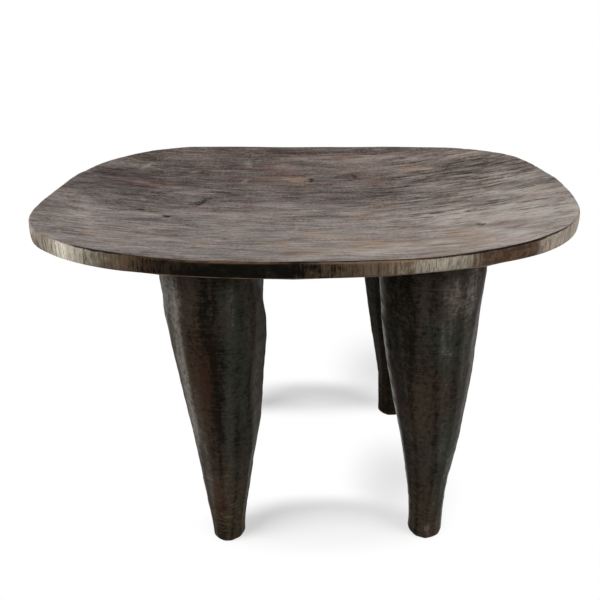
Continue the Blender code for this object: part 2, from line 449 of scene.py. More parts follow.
edge_x = round_the_edge(plan_x)
edge_y = round_the_edge(plan_y)
edge_relief = round_the_edge(top_relief)
edge_count = len(edge_x)
run_x = np.roll(edge_x, -1) - np.roll(edge_x, 1)
run_y = np.roll(edge_y, -1) - np.roll(edge_y, 1)
out_x = run_y / np.hypot(run_x, run_y)
out_y = -run_x / np.hypot(run_x, run_y)
edge_length = np.cumsum(np.hypot(np.roll(edge_x, -1) - edge_x, np.roll(edge_y, -1) - edge_y))
edge_share = np.concatenate([[0], edge_length[:-1]]) / edge_length[-1]
rasp_waves = int(edge_length[-1] / RASP_SIZE[0])
top_edge = dish_height(edge_x, edge_y) + edge_relief
bottom_edge = underside_height(edge_x, edge_y)
edge_angle = np.degrees(np.arctan2(edge_y, edge_x))


def rim_colour_and_light(x, y):
    """The rim's colour in this direction: how pale, partly as painted light and shade, how red, how grimed
    and how bare.
    """
    angle, *columns = np.array(RIM_COLOUR_AND_LIGHT).T
    return [np.interp(np.degrees(np.arctan2(y, x)), angle, column) for column in columns]


def faded(fade, share, more=0.0):
    """How much of a mark is left this share of the way down: its level, less its fall, from 0 to 1."""
    level, fall = fade
    return np.clip(level + more - fall * share, 0, 1)


# The rim's paleness is partly painted light where it faces the lamps and painted shade across its front.
edge_pale_and_light, edge_red, edge_grime, edge_bare = rim_colour_and_light(edge_x, edge_y)
from_highlight = np.abs(edge_angle - LOWER_HIGHLIGHT_AT)
under_wear_and_highlight = np.clip((LOWER_HIGHLIGHT_REACH - from_highlight) / LOWER_HIGHLIGHT_FADE, LOWER_WEAR_LEAST, 1)
rubbed_over = np.clip((np.abs(edge_angle) - LEFT_END_FROM) / LEFT_END_FADE, 0, 1)

# Rings of points down the rim, each a depth in from the outline and a height, with how bare and how grimed
# the wood is there, and how far it has the rim's colour. On the left end the top's colour runs over it.
rim_rings = []
rim_wear_and_highlight = []
rim_crack = []
rim_face = []
for step in range(1, ARRIS_STEPS + 1):
    share = step / ARRIS_STEPS
    turn = pi / 2 * share
    rubbed = ARRIS_ROUND * ARRIS_RUB * edge_bare * np.sin(2 * turn)
    height = top_edge - ARRIS_ROUND * (1 - np.cos(turn)) - rubbed
    rim_rings.append((ARRIS_ROUND * (1 - np.sin(turn)) + rubbed, height))
    rim_wear_and_highlight.append(edge_bare * faded(BARE_FADE, share))
    rim_crack.append(edge_grime * faded(GRIME_FADE, share, GRIME_GAIN * (edge_grime - edge_bare)))
    rim_face.append(1 - rubbed_over)
for step in range(1, WALL_STEPS):
    share = step / WALL_STEPS
    height = (top_edge - ARRIS_ROUND) * (1 - share) + (bottom_edge + ARRIS_ROUND) * share
    rasp = RASP_DEPTH * swells(edge_share * rasp_waves, height / RASP_SIZE[1], SEEDS["rasp"], rasp_waves)
    hollow = RIM_HOLLOW * np.sin(pi * share)
    rim_rings.append((rasp - hollow, height))
    rim_wear_and_highlight.append(edge_bare * BARE_BELOW if step == 1 else np.zeros(edge_count))
    rim_crack.append(np.zeros(edge_count))
    rim_face.append(1 - rubbed_over * faded(TOP_COLOUR_FADE, share))
for step in range(ARRIS_STEPS + 1):
    turn = pi / 2 * (1 - step / ARRIS_STEPS)
    rubbed = ARRIS_ROUND * ARRIS_RUB * edge_bare * np.sin(2 * turn)
    height = bottom_edge + ARRIS_ROUND * (1 - np.cos(turn)) + rubbed
    rim_rings.append((ARRIS_ROUND * (1 - np.sin(turn)) + rubbed, height))
    # The lower arris's pale line is wear all round, with a painted highlight along the front.
    rim_wear_and_highlight.append(under_wear_and_highlight * np.sin(2 * turn))
    rim_crack.append(np.zeros(edge_count))
    rim_face.append(np.ones(edge_count))
rim_points = []
for depth, height in rim_rings:
    rim_points.append(np.stack([edge_x - out_x * depth, edge_y - out_y * depth, height], -1))

under_x, under_y = inset(plan_x[::2, ::2], plan_y[::2, ::2], ARRIS_ROUND * 2)
scoop_length, scoop_width = UNDERSIDE_SCOOP_SIZE
under_scoops = scoops(under_x / scoop_length, under_y / scoop_width, SEEDS["under_scoops"])
ripple_length, ripple_width = UNDERSIDE_RIPPLE_SIZE
under_ripples = swells(under_x / ripple_length, under_y / ripple_width, SEEDS["under_ripples"])
under_relief = -UNDERSIDE_SCOOP_DEPTH * (under_scoops - UNDERSIDE_SCOOP_LEVEL) + RIPPLE_DEPTH * under_ripples
under_points = np.stack([under_x, under_y, underside_height(under_x, under_y) + under_relief], -1)

top_numbers = np.arange(top_x.size).reshape(top_x.shape)
rim_numbers = top_x.size + np.arange(len(rim_points) * edge_count).reshape(-1, edge_count)
under_numbers = top_x.size + rim_numbers.size + np.arange(under_x.size).reshape(under_x.shape)
rings = [round_the_edge(top_numbers), *rim_numbers]
seat_faces = net_faces(top_numbers).tolist()
for upper, lower in zip(rings, rings[1:]):
    seat_faces += band_faces(upper, lower).tolist()
last = rings[-1]
coarse = round_the_edge(under_numbers)
seat_faces += np.stack([
    last[::2], coarse, np.roll(coarse, -1), np.roll(last, -2)[::2], last[1::2],
], -1).tolist()
seat_faces += net_faces(under_numbers)[:, ::-1].tolist()
seat_points = np.concatenate([top_points.reshape(-1, 3), *rim_points, under_points.reshape(-1, 3)])


def steps_in(count):
    """How many steps each line of the net lies in from the nearer edge."""
    return np.minimum(np.arange(count + 1), np.arange(count, -1, -1))


columns_in = steps_in(NET_COLUMNS) * 2 * HALF_LENGTH / NET_COLUMNS
rows_in = steps_in(NET_ROWS) * 2 * HALF_WIDTH / NET_ROWS
from_edge = np.minimum(columns_in[:, None], rows_in[None, :])
_, _, top_grime, top_bare = rim_colour_and_light(top_x, top_y)
top_wear = BARE_ON_TOP * top_bare * np.clip(1 - from_edge / BARE_BREADTH, 0, 1)
top_crack = top_grime * np.clip(1 - from_edge / GRIME_BREADTH, 0, 1)
# The rim's paleness, with its painted light and shade, goes on the seat's pale mark.
rim_pale_and_light = np.tile(edge_pale_and_light, len(rim_points))
rim_red = np.tile(edge_red, len(rim_points))


def over_seat(*values):
    """A value for each point of the seat, from the values of its top, its rim and its underside."""
    sizes = (top_numbers.size, rim_numbers.size, under_numbers.size)
    return np.concatenate([np.broadcast_to(np.ravel(value), size) for value, size in zip(values, sizes)])


# The wear mark also carries the painted highlight along the lower arris at the front.
seat = skin("stool_seat", seat_points, seat_faces, {
    "score": over_seat(seat_scores, 0, 0),
    "wear": over_seat(top_wear, rim_wear_and_highlight, 0),
    "crack": over_seat(top_crack, rim_crack, 0),
    "rim": over_seat(0, rim_face, 0),
    "dark": over_seat(stained(top_x, top_y, DARK_STAINS), 0, UNDERSIDE_DARKNESS),
    "pale": over_seat(stained(top_x, top_y, PALE_STAINS_AND_LIGHT), rim_pale_and_light, 0),
    "tan": over_seat(stained(top_x, top_y, TAN_STAINS), 0, 0),
    "red": over_seat(stained(top_x, top_y, RED_STAINS), rim_red, 0),
})


class Shade:
    """A socket in a finish's node tree; arithmetic on it adds Math nodes."""

    def __init__(self, tree, socket):
        self.tree = tree
        self.socket = socket

    def node(self, kind, settings, sockets, output=0):
        """Add a node of any kind: its settings first, then the values or links of its sockets."""
        node = self.tree.nodes.new(kind)
        for name, value in settings.items():
            setattr(node, name, value)
        for name, value in sockets.items():
            if isinstance(value, Shade):
                self.tree.links.new(value.socket, node.inputs[name])
            else:
                node.inputs[name].default_value = value
        return Shade(self.tree, node.outputs[output])

    def math(self, operation, first, second=0.0):
        """One Math node on two values or numbers."""
        return self.node("ShaderNodeMath", {"operation": operation}, {0: first, 1: second})

    def __add__(self, other):
        return self.math("ADD", self, other)

    def __radd__(self, other):
        return self.math("ADD", other, self)

    def __sub__(self, other):
        return self.math("SUBTRACT", self, other)

    def __rsub__(self, other):
        return self.math("SUBTRACT", other, self)

    def __mul__(self, other):
        return self.math("MULTIPLY", self, other)

    def __rmul__(self, other):
        return self.math("MULTIPLY", other, self)

    def between(self, low, high):
        """A soft mask: 0 below low, 1 above high."""
        limits = {"Value": self, "From Min": low, "From Max": high}
        return self.node("ShaderNodeMapRange", {"interpolation_type": "SMOOTHSTEP"}, limits)

    def paint(self, under, over):
        """Where this mask is 0 the colour under shows, and where it is 1 the colour over it."""
        return self.node("ShaderNodeMix", {"data_type": "RGBA"}, {0: self, 6: under, 7: over}, 2)

    def grain(self, waves, detail=3.0, roughness=0.55, output=0):
        """Cloudy noise with so many waves to a metre along x, y and z."""
        drawn = self.node("ShaderNodeVectorMath", {"operation": "MULTIPLY"}, {0: self, 1: waves})
        noise = {"Vector": drawn, "Scale": 1.0, "Detail": detail, "Roughness": roughness}
        return self.node("ShaderNodeTexNoise", {}, noise, output)

    def wander(self, waves, distance):
        """These coordinates moved about by slow noise, so that a grain drawn on them wavers."""
        cloud = self.grain(waves, 2.0, 0.5, 1)
        push = self.node("ShaderNodeVectorMath", {"operation": "SUBTRACT"}, {0: cloud, 1: (0.5, 0.5, 0.5)})
        push = self.node("ShaderNodeVectorMath", {"operation": "MULTIPLY"}, {0: push, 1: distance})
        return self.node("ShaderNodeVectorMath", {"operation": "ADD"}, {0: self, 1: push})

    def split(self):
        """The three channels of a colour, each a value of its own."""
        parts = self.node("ShaderNodeSeparateColor", {}, {0: self}).socket.node
        return [Shade(self.tree, channel) for channel in parts.outputs]

    def mark(self, name):
        """A tool mark or wear value kept on the mesh's points."""
        return self.node("ShaderNodeAttribute", {"attribute_name": name}, {}, 2)


def new_finish(name):
    """A new material, its surface shader and the object's own coordinates in its node tree."""
    material = bpy.data.materials.new(name)
    material.use_nodes = True
    tree = material.node_tree
    shader = tree.nodes["Principled BSDF"]
    return material, shader, Shade(tree, tree.nodes.new("ShaderNodeTexCoord").outputs["Object"])


def feed(shader, name, shade):
    """Link a value that changes over the surface to one of the shader's sockets."""
    shade.tree.links.new(shade.socket, shader.inputs[name])


SEAT_DARK = (0.010, 0.007, 0.005, 1)
SEAT_BROWN = (0.048, 0.030, 0.024, 1)
SEAT_GREY = (0.260, 0.211, 0.186, 1)
SEAT_PALE = (0.420, 0.368, 0.328, 1)
SEAT_RED = (0.145, 0.076, 0.060, 1)
SEAT_TAN = (0.285, 0.180, 0.112, 1)
SEAT_OLIVE = (0.105, 0.096, 0.072, 1)
# ARRIS_BARE paints the bare arrises, and also the painted highlight on the lower arris at the front.
ARRIS_BARE = (0.215, 0.125, 0.070, 1)
# The rim colours from black to cream also paint shade across the rim's front and light where it faces the
# lamps.
RIM_BLACK = (0.0032, 0.0030, 0.0022, 1)
RIM_BROWN = (0.095, 0.070, 0.046, 1)
RIM_RED = (0.150, 0.075, 0.044, 1)
RIM_OLIVE = (0.360, 0.328, 0.264, 1)
RIM_CREAM = (0.700, 0.640, 0.540, 1)
RIM_PINK = (0.360, 0.268, 0.222, 1)
# Towards the right end the grain bends to the back: from where to where along the seat, and how far.
GRAIN_BEND_ALONG = (0.06, 0.28)
GRAIN_BEND = 0.035
# The tone of the fibres that lies halfway between brown and grey.
MIDDLE_TONE = 1.22


def seat_finish():
    """Brown hardwood gone grey with handling: fibres, stains, painted light, dark cuts, a rasped rim and a
    bare arris.
    """
    material, shader, here = new_finish("seat_wood")
    along = here.node("ShaderNodeSeparateXYZ", {}, {0: here})
    bend = here.node("ShaderNodeCombineXYZ", {}, {1: along.between(*GRAIN_BEND_ALONG) * -GRAIN_BEND})
    bent = here.node("ShaderNodeVectorMath", {"operation": "ADD"}, {0: here, 1: bend})
    wood = bent.wander((7, 14, 14), (0.030, 0.005, 0.005))
    patches = wood.grain((13, 38, 38), 4.0, 0.55)
    lines = wood.grain((30, 430, 430), 3.0, 0.6)
    hairs = wood.grain((95, 800, 800), 2.0, 0.6)
    speck = here.grain((330, 230, 330), 3.0, 0.7)
    hues = wood.grain((26, 60, 60), 4.0, 0.6, 1).split()
    gloss = wood.grain((24, 80, 80), 4.0, 0.6)
    dark = here.mark("dark")
    pale = here.mark("pale")
    score = here.mark("score")
    # Fibres from brown through grey to pale; the pale mark also carries painted light on the top and the rim.
    tone = patches * 0.75 + lines * 0.6 + hairs * 0.3 + speck * 0.8 + pale * 0.45 - dark * 0.32 - MIDDLE_TONE
    colour = tone.between(-0.34, 0.34).paint(SEAT_BROWN, SEAT_GREY)
    colour = (tone.between(0.14, 0.54) * 0.85).paint(colour, SEAT_PALE)
    # Stains, broken up by the fibres.
    broken = (lines - 0.5) * 0.25 + (speck - 0.5) * 0.9
    red = here.mark("red") * 0.7 + (hues[0] - 0.5) * 2.6 + broken
    tan = here.mark("tan") * 0.7 + (hues[1] - 0.5) * 2.6 + broken - dark * 0.3
    olive = (hues[2] - 0.5) * 2.6 + broken
    colour = (olive.between(0.05, 0.55) * 0.6).paint(colour, SEAT_OLIVE)
    colour = (red.between(0.10, 0.60) * 0.65).paint(colour, SEAT_RED)
    colour = (tan.between(0.10, 0.60) * 0.65).paint(colour, SEAT_TAN)
    # Single fibres, plainest where the wood is pale.
    colour = (lines.between(0.54, 0.70) * (0.25 + 0.7 * pale)).paint(colour, SEAT_PALE)
    colour = (lines.between(0.46, 0.32) * (0.10 + 0.45 * pale)).paint(colour, SEAT_BROWN)
    # Dark checks and cuts, and pale scratches.
    checks = wood.grain((8, 64, 64), 2.0, 0.5) - 0.5
    checks = checks.math("ABSOLUTE", checks).between(0.035, 0.005) * patches.between(0.56, 0.42)
    cuts = wood.grain((120, 300, 300), 2.0, 0.5).between(0.30, 0.52) * score
    cuts = cuts.math("MAXIMUM", cuts, checks * hairs.between(0.40, 0.55) * 0.5)
    colour = (cuts * 0.95).paint(colour, SEAT_DARK)
    colour = (score * -0.9).paint(colour, SEAT_PALE)
    # The rim, rasped across, from black through brown and olive to cream where it is rubbed.
    # The same run also paints shade across the rim's front and light where it faces the lamps.
    rim = here.mark("rim")
    rasp = here.grain((480, 480, 40), 4.0, 0.7)
    bands = here.grain((190, 190, 9), 3.0, 0.6)
    mottle = here.grain((85, 85, 120), 5.0, 0.7)
    age = pale + (mottle - 0.5) * 0.5 + (rasp - 0.5) * (0.30 + 1.7 * pale) + (bands - 0.5) * 1.3 * pale
    side = (mottle.between(0.45, 0.70) * 0.08).paint(RIM_BLACK, RIM_BROWN)
    side = age.between(0.08, 0.40).paint(side, RIM_BROWN)
    side = age.between(0.36, 0.72).paint(side, RIM_OLIVE)
    side = age.between(0.70, 1.05).paint(side, RIM_CREAM)
    side = (here.mark("red") * age.between(0.04, 0.30) * 0.5).paint(side, RIM_RED)
    side = (here.mark("red") * age.between(0.50, 0.75) * 0.8).paint(side, RIM_PINK)
    side = (rasp.between(0.52, 0.66) * 0.6).paint(side, RIM_BLACK)
    side = (mottle.between(0.46, 0.58) * here.mark("red") * 0.65).paint(side, RIM_BLACK)
    side = (bands.between(0.54, 0.66) * pale.between(0.15, 0.45) * 0.5).paint(side, RIM_BLACK)
    colour = rim.paint(colour, side)
    # The bare arrises, with a painted highlight along the lower one at the front, and the grime along the
    # upper one.
    patchy = here.grain((60, 60, 250), 3.0).between(0.38, 0.60)
    bare = here.mark("wear").between(0.30, 1.00) * (0.35 + 0.65 * patchy)
    colour = (bare * 0.85).paint(colour, ARRIS_BARE)
    crack = (here.mark("crack") * (0.4 + 1.2 * here.grain((110, 110, 200), 3.0))).between(0.35, 0.80)
    colour = (crack * 0.92).paint(colour, SEAT_DARK)
    feed(shader, "Base Color", colour)
    # Roughness, wax and relief.
    feed(shader, "Roughness", 0.40 + 0.24 * speck + 0.12 * cuts)
    waxed = (0.15 + 0.7 * (gloss * 0.6 + speck * 0.2 + lines * 0.2).between(0.36, 0.64)) * (1 - 0.8 * cuts)
    feed(shader, "Coat Weight", waxed * (1 - rim) * (1 - crack))
    shader.inputs["Specular IOR Level"].default_value = 0.02
    shader.inputs["Coat Roughness"].default_value = 0.33
    height = speck * 0.15 + lines * 0.40 - cuts * 0.6 + rim * rasp * 0.6
    bump = {"Strength": 0.7, "Distance": 0.0008, "Height": height}
    feed(shader, "Normal", here.node("ShaderNodeBump", {}, bump))
    return material


seat.data.materials.append(seat_finish())
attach(seat, "root")
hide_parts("seat")

# Legs
# Four stout legs of the same block, hewn in long flats that taper to a small rounded foot.
# Smoke and handling have blackened them, with browner wood rubbed bare at the feet.
SOLES = {mount["name"]: mount["pos_m"] for mount in frame["record"]["mounts"]}
FOOT_RADIUS = 0.018
FOOT_ROUND = 0.007
JOINT_GAP = 0.0003
LEG_RINGS = 210
LEG_SEGMENTS = 168
FOOT_STEPS = 6
FLAT_CRISPNESS = 36
LEG_HEIGHT = 0.333
# How a flat strays on its way up, sideways in radians and inwards as a share of the girth, then how many
# waves of it go up the leg, and how many lie between those of one flat and of the next.
FLAT_SWAY = 0.14
FLAT_SWAY_WAVES = (3, 5)
FLAT_SET_BACK = 0.025
FLAT_SET_BACK_WAVES = (4, 7)
# Tool marks: how deep they are and how many go round a leg and up it. They are fainter at the foot,
# over a share of the leg's height.
LEG_SCOOP_DEPTH = 0.0008
LEG_SCOOPS = (7, 7.5)
LEG_NICK_DEPTH = 0.0007
LEG_NICKS = (11, 21)
LEG_RIPPLE_DEPTH = 0.0002
LEG_RIPPLES = (16, 26)
FOOT_FAINTNESS = 0.35
FAINT_SHARE = 0.125
# What each kind of mark adds to a leg's own seed.
SEED_STEPS = {"sway": 0, "set_back": 10, "scoops": 20, "nicks": 25, "ripples": 30}
# How sharply a stray of a leg's left or right side dies away towards its front and back.
STRAY_SHARPNESS = 1.5
# How cold the colour is before its patches, and the height about which bare wood shows at the foot.
# The cold colour is partly a painted grey-green sheen.
COLDNESS = 0.35
BARE_HEIGHT = 0.045
BARE_REACH = 0.060

# Each leg: how far its head leans from its foot, its girth, its bow, how bare its foot is, and its flats.
# A flat is given by its direction in degrees at the head and at the foot, and by how pale it is:
# partly rubbed wood, partly painted light on flats that face the lamps and painted shade on those facing the
# front.
LEGS = {
    "front_left": {
        "head": (0.000, -0.006), "head_radius": 0.0475, "taper": 0.74, "bow": 0.004,
        "seed": 61, "bare_foot": 0.7,
        "flats": (
            (-152, -198, 0.90), (-128, -168, 0.80), (-104, -142, 0.42), (-86, -108, 0.24),
            (-70, -84, 0.50), (-50, -56, 0.42), (-18, -20, 0.50), (16, 16, 0.40), (52, 52, 0.55),
            (90, 90, 0.45), (128, 124, 0.60), (166, 150, 0.70),
        ),
    },
    "front_right": {
        "head": (-0.018, 0.006), "head_radius": 0.0500, "taper": 0.84, "bow": 0.002,
        "seed": 62, "bare_foot": 0.25,
        "flats": (
            (-172, -176, 0.60), (-140, -144, 0.22), (-104, -108, 0.32), (-78, -80, 0.50),
            (-52, -54, 0.62), (-22, -26, 0.72), (14, 10, 0.70), (52, 48, 0.40), (92, 90, 0.50),
            (132, 128, 0.35), (160, 152, 0.45),
        ),
    },
    "back_left": {
        "head": (-0.004, 0.000), "head_radius": 0.0495, "taper": 0.76, "bow": 0.002,
        "seed": 63, "bare_foot": 0.4,
        "flats": (
            (-160, -150, 0.45), (-128, -118, 0.30), (-92, -86, 0.35), (-60, -56, 0.25), (-24, -20, 0.40),
            (10, 14, 0.30), (46, 48, 0.25), (80, 84, 0.45), (114, 118, 0.35), (146, 152, 0.50),
            (174, 178, 0.40),
        ),
    },
    "back_right": {
        "head": (-0.006, 0.000), "head_radius": 0.0510, "taper": 0.82, "bow": 0.000,
        "seed": 64, "bare_foot": 0.2,
        "flats": (
            (-152, -160, 0.20), (-120, -126, 0.15), (-88, -92, 0.20), (-55, -58, 0.30), (-20, -22, 0.25),
            (14, 12, 0.45), (50, 50, 0.40), (84, 84, 0.30), (118, 118, 0.45), (150, 148, 0.25),
            (178, 176, 0.25),
        ),
    },
}
# How far each side of a leg strays from an even taper: share of its height, then metres to the right
# on its left side and on its right side.
LEG_BY_EYE = {
    "front_left": (
        (0.00, 0.0012, 0.0014), (0.03, 0.0004, 0.0007), (0.12, -0.0010, 0.0002), (0.21, -0.0006, 0.0001),
        (0.29, 0.0003, -0.0009), (0.38, 0.0004, 0.0004), (0.46, 0.0003, 0.0014), (0.54, -0.0005, -0.0001),
        (0.62, -0.0008, -0.0015), (0.69, -0.0013, -0.0013), (0.76, -0.0013, 0.0009),
        (0.83, -0.0018, 0.0019), (0.90, 0.0012, 0.0005), (0.94, 0.0018, -0.0012), (0.97, 0.0022, -0.0030),
        (1.00, 0.0022, -0.0030),
    ),
    "front_right": (
        (0.00, -0.0012, 0.0003), (0.03, -0.0005, 0.0002), (0.12, 0.0006, -0.0006),
        (0.21, 0.0005, -0.0015), (0.29, 0.0007, -0.0006), (0.38, 0.0010, 0.0003), (0.46, 0.0001, -0.0008),
        (0.54, 0.0, -0.0015), (0.62, 0.0, -0.0016), (0.69, 0.0, -0.0030), (0.76, 0.0, -0.0027),
        (0.83, 0.0, -0.0017), (0.90, 0.0, 0.0007), (1.00, 0.0, 0.0030),
    ),
    "back_left": ((0.00, 0.0, 0.0), (0.40, 0.0, 0.0), (0.58, 0.0, -0.0040), (1.00, 0.0, -0.0030)),
    "back_right": (
        (0.00, -0.0018, 0.0), (0.06, -0.0010, 0.0), (0.12, -0.0002, 0.0), (0.17, 0.0018, 0.0),
        (0.23, 0.0012, 0.0), (0.29, 0.0009, 0.0), (0.60, 0.0, 0.0), (1.00, 0.0, 0.0),
    ),
}
# Chips left by the adze: direction and height, half breadth in degrees and half height, and depth.
LEG_CHIPS = {
    "front_left": (
        (-112, 0.305, 6, 0.016, 0.0009), (-103, 0.268, 6, 0.014, 0.0009), (-118, 0.232, 7, 0.016, 0.0008),
    ),
    "front_right": (
        (-98, 0.286, 10, 0.022, 0.0022), (-62, 0.272, 9, 0.012, 0.0010), (-156, 0.318, 6, 0.008, 0.0012),
        (-157, 0.296, 6, 0.007, 0.0014), (-155, 0.272, 6, 0.008, 0.0012), (-157, 0.247, 6, 0.007, 0.0012),
        (-154, 0.222, 6, 0.008, 0.0011), (-66, 0.118, 16, 0.020, 0.0010),
    ),
    "back_left": (
        (-125, 0.240, 9, 0.015, 0.0012), (60, 0.290, 9, 0.015, 0.0012), (150, 0.180, 10, 0.018, 0.0012),
    ),
    "back_right": (
        (-140, 0.250, 9, 0.015, 0.0012), (95, 0.275, 9, 0.015, 0.0012), (20, 0.190, 10, 0.018, 0.0012),
    ),
}
# Patches on the legs, most of them painted light: painted highlights and glints on ridges and chip edges,
# painted shade in chips and nicks, painted light just under the seat where its shade falls, and a cold sheen.
# Each gives direction and height, half breadth in degrees and half height, then how much paler it is painted,
# as rubbed wood and as painted light, and how much colder its colour, or redder where that is below 0.
LEG_PATCHES_AND_LIGHT = {
    "front_left": (
        (-126, 0.185, 24, 0.100, 0.32, -0.5), (-93, 0.225, 9, 0.060, -0.22, 0.0),
        (-66, 0.270, 18, 0.050, 0.08, 0.7), (-104, 0.240, 14, 0.055, 0.0, -1.1),
        (-76, 0.275, 10, 0.045, -0.14, 0.0), (-62, 0.330, 12, 0.012, 0.25, 0.0),
        (-119, 0.085, 22, 0.030, 0.20, -0.3), (-108, 0.072, 16, 0.022, 0.0, -1.0),
        (-62, 0.175, 26, 0.060, 0.0, 0.6), (-52, 0.312, 6, 0.020, -0.20, 0.2),
        (-30, 0.240, 10, 0.120, 0.10, 0.0), (-90, 0.045, 70, 0.045, 0.0, -0.6),
        (-106, 0.300, 3, 0.016, 0.20, 0.0), (-99, 0.262, 3, 0.014, 0.16, 0.0),
        (-145, 0.325, 24, 0.030, 0.45, 0.0), (-98, 0.295, 13, 0.035, -0.12, 0.0),
        (-68, 0.314, 14, 0.025, 0.25, 0.4),
    ),
    "front_right": (
        (-132, 0.270, 24, 0.090, -0.10, 0.2), (-62, 0.318, 26, 0.022, 0.32, -0.1),
        (-76, 0.268, 20, 0.030, 0.02, 0.8), (-104, 0.302, 5, 0.012, 0.14, 0.3),
        (-98, 0.284, 6, 0.016, -0.02, 0.4), (-86, 0.276, 4, 0.020, 0.20, 0.3),
        (-74, 0.262, 12, 0.006, 0.16, 0.3), (-118, 0.215, 16, 0.070, 0.06, -0.2),
        (-44, 0.200, 13, 0.140, 0.10, 0.2), (-112, 0.200, 25, 0.040, 0.06, -0.4),
        (-90, 0.040, 60, 0.050, 0.0, -0.6), (-43, 0.112, 13, 0.018, 0.20, 0.2),
        (-96, 0.130, 6, 0.014, 0.12, 0.0), (-78, 0.332, 14, 0.012, 0.20, 0.0),
        (-69, 0.138, 14, 0.030, 0.20, 0.4), (-168, 0.274, 8, 0.003, -0.7, 0.2),
        (-166, 0.263, 8, 0.003, -0.7, 0.2), (-169, 0.251, 8, 0.003, -0.7, 0.2),
        (-166, 0.238, 8, 0.003, -0.6, 0.2), (-168, 0.166, 9, 0.003, -0.7, 0.2),
        (-170, 0.152, 9, 0.003, -0.6, 0.2), (-167, 0.136, 9, 0.003, -0.7, 0.2),
        (-169, 0.118, 9, 0.003, -0.6, 0.2), (-158, 0.250, 3, 0.070, 0.25, 0.3),
        (-94, 0.019, 9, 0.005, 0.8, -0.5), (-58, 0.085, 28, 0.045, 0.08, 1.3),
        (-78, 0.012, 26, 0.010, 0.25, -1.6), (-100, 0.165, 50, 0.060, 0.07, 0.15),
        (-182, 0.200, 11, 0.160, 0.75, 0.6), (-160, 0.215, 8, 0.120, -0.20, 0.2),
        (-178, 0.300, 7, 0.003, -0.8, 0.0), (-176, 0.281, 7, 0.004, -0.8, 0.0),
        (-178, 0.226, 7, 0.004, -0.8, 0.0), (-175, 0.205, 7, 0.006, -0.8, 0.0),
        (-178, 0.183, 7, 0.004, -0.8, 0.0),
    ),
    "back_left": (
        (-120, 0.250, 20, 0.050, 0.2, 0.3), (70, 0.280, 15, 0.030, 0.2, 0.3),
        (0, 0.030, 180, 0.030, 0.0, -0.7),
    ),
    "back_right": (
        (-150, 0.270, 40, 0.090, 0.10, 0.8), (100, 0.260, 15, 0.030, 0.2, 0.2),
        (0, 0.030, 180, 0.040, -0.05, -0.8),
    ),
}


def degrees_off(angle, direction):
    """How many degrees round a leg a place lies from a direction."""
    return (np.degrees(angle) - direction + 180) % 360 - 180


def flat_waves(leg, kind, waves, number, share):
    """How one of a leg's flats strays on its way up, from -1 to 1."""
    up, apart = waves
    return swells(share * up + number * apart, share * 0, leg["seed"] + SEED_STEPS[kind])


def hewn_flats(leg, share, angle):
    """How far out a leg's flats lie, as a share of its girth, and how pale they are, partly rubbed and partly
    painted light.
    """
    facing = np.zeros(share.shape)
    rubbed = np.zeros(share.shape)
    for number, (at_head, at_foot, rub_and_light) in enumerate(leg["flats"]):
        flat = np.radians(at_foot + (at_head - at_foot) * share)
        sway = FLAT_SWAY * flat_waves(leg, "sway", FLAT_SWAY_WAVES, number, share)
        set_back = 1 + FLAT_SET_BACK * flat_waves(leg, "set_back", FLAT_SET_BACK_WAVES, number, share)
        this_way = np.clip(np.cos(angle - flat - sway) / set_back, 0, None) ** FLAT_CRISPNESS
        facing += this_way
        rubbed += this_way ** 2 * rub_and_light
    hewn = facing ** (-1 / FLAT_CRISPNESS)
    return hewn / hewn.mean(), rubbed / facing ** 2


def leg_marks(leg, kind, pattern, counts, share, angle):
    """Tool marks of one pattern, so many of them round a leg and up it."""
    around, up = counts
    return pattern(angle / (2 * pi) * around, share * up, leg["seed"] + SEED_STEPS[kind], around)


def leg_relief(name, leg, share, angle):
    """Height of a leg's tool marks and of its chips, which go below them."""
    hollows = leg_marks(leg, "scoops", scoops, LEG_SCOOPS, share, angle) - SCOOP_LEVEL
    nicks = leg_marks(leg, "nicks", scoops, LEG_NICKS, share, angle) - SCOOP_LEVEL
    ripples = leg_marks(leg, "ripples", swells, LEG_RIPPLES, share, angle)
    relief = LEG_SCOOP_DEPTH * hollows + LEG_NICK_DEPTH * nicks + LEG_RIPPLE_DEPTH * ripples
    relief = relief * np.clip(share / FAINT_SHARE, FOOT_FAINTNESS, 1)
    for chip, height, half_angle, half_height, depth in LEG_CHIPS[name]:
        off = degrees_off(angle, chip) / half_angle
        up = (share - height / LEG_HEIGHT) * LEG_HEIGHT / half_height
        relief = relief - depth * np.clip(1 - off ** 2 - up ** 2, 0, 1)
    return relief


def leg_stray(name, share, angle):
    """How far a leg's left and right sides stray to the right."""
    stray_share, stray_left, stray_right = np.array(LEG_BY_EYE[name]).T
    on_left = np.interp(share, stray_share, stray_left)
    on_right = np.interp(share, stray_share, stray_right)
    return np.where(np.cos(angle) < 0, on_left, on_right) * np.abs(np.cos(angle)) ** STRAY_SHARPNESS


def foot_rings(first, foot_x, foot_y):
    """Rings of points round the foot's rounded edge, from the sole up to the shaft's first ring."""
    rings = []
    for step in range(FOOT_STEPS):
        turn = pi / 2 * step / FOOT_STEPS
        inward = FOOT_ROUND * (1 - np.sin(turn)) / FOOT_RADIUS
        ring = first.copy()
        ring[:, 0] += (foot_x - ring[:, 0]) * inward
        ring[:, 1] += (foot_y - ring[:, 1]) * inward
        ring[:, 2] = FOOT_ROUND * (1 - np.cos(turn))
        rings.append(ring)
    return rings


def leg_tone_and_light(name, rubbed, angle, z):
    """How pale a leg is, partly rubbed and partly painted light and shade, and how cold its colour is, with
    its patches.
    """
    cold = np.full(z.shape, COLDNESS)
    for patch, height, half_angle, half_height, more_rub_and_light, colder_and_sheen in LEG_PATCHES_AND_LIGHT[name]:
        off = degrees_off(angle, patch) / half_angle
        near = np.exp(-off ** 2 - ((z - height) / half_height) ** 2)
        rubbed = rubbed + more_rub_and_light * near
        cold = cold + colder_and_sheen * near
    return {"rubbed": rubbed, "cold": cold}


